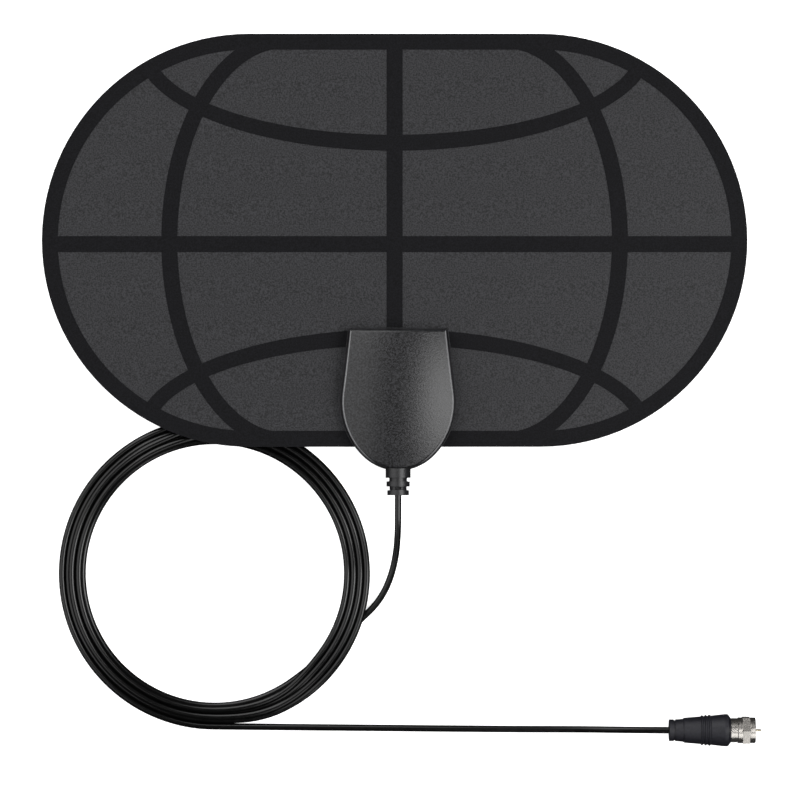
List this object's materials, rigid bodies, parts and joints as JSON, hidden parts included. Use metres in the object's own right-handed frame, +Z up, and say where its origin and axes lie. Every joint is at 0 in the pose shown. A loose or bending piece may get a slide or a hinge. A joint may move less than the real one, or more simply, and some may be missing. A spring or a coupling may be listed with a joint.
{
  "type": "indoor tv antenna",
  "caption": "Thin oval film antenna panel with a printed globe-line pattern, a domed amplifier case clamped to one long edge, and a coiled coaxial lead ending in a screw plug.",
  "frame": {"origin": "middle of the footprint of the panel and case, on the surface they lie on", "axes": "+X along the panel's length, +Y from the case towards the panel's far long edge, +Z up"},
  "size_m": [0.3057, 0.303, 0.0177],
  "materials": {
    "film": "satin film with a fine grain",
    "foil": "bright",
    "print": "matte printed layer",
    "case": "fine moulded texture",
    "steel": "plain",
    "board": "solder-mask green",
    "brass": "plated",
    "ferrite": "dull",
    "copper": "enamelled wire",
    "chip": "dull",
    "solder": "bright",
    "relief": "soft satin",
    "jacket": "glossy jacket",
    "insulation": "white",
    "boot": "matte moulded",
    "nickel": "nickel plate"
  },
  "bodies": {
    "antenna": {"back_film": "film", "antenna_foil": "foil", "front_film": "film", "printed_grid": "print", "front_shell": "case", "back_shell": "case", "case_screws": "steel", "circuit_board": "board", "feed_rivets": "brass", "balun_core": "ferrite", "balun_winding": "copper", "board_chips": "chip", "solder_pad": "solder", "strain_relief": "relief", "cable_end": "jacket", "cable_dielectric": "insulation", "cable_conductor": "copper", "cable_lead": "jacket", "cable_coil": "jacket", "cable_bight": "jacket", "cable_tail": "jacket", "plug_boot": "boot", "plug_body": "nickel", "plug_insulator": "insulation", "centre_pin": "brass"},
    "nut": {"coupling_nut": "nickel"}
  },
  "joints": [
    {"name": "nut_turn", "type": "hinge", "parent": "antenna", "child": "nut", "pos_m": [0.1502, -0.20315, 0.00685], "axis": [1, 0, 0], "continuous": true}
  ]
}
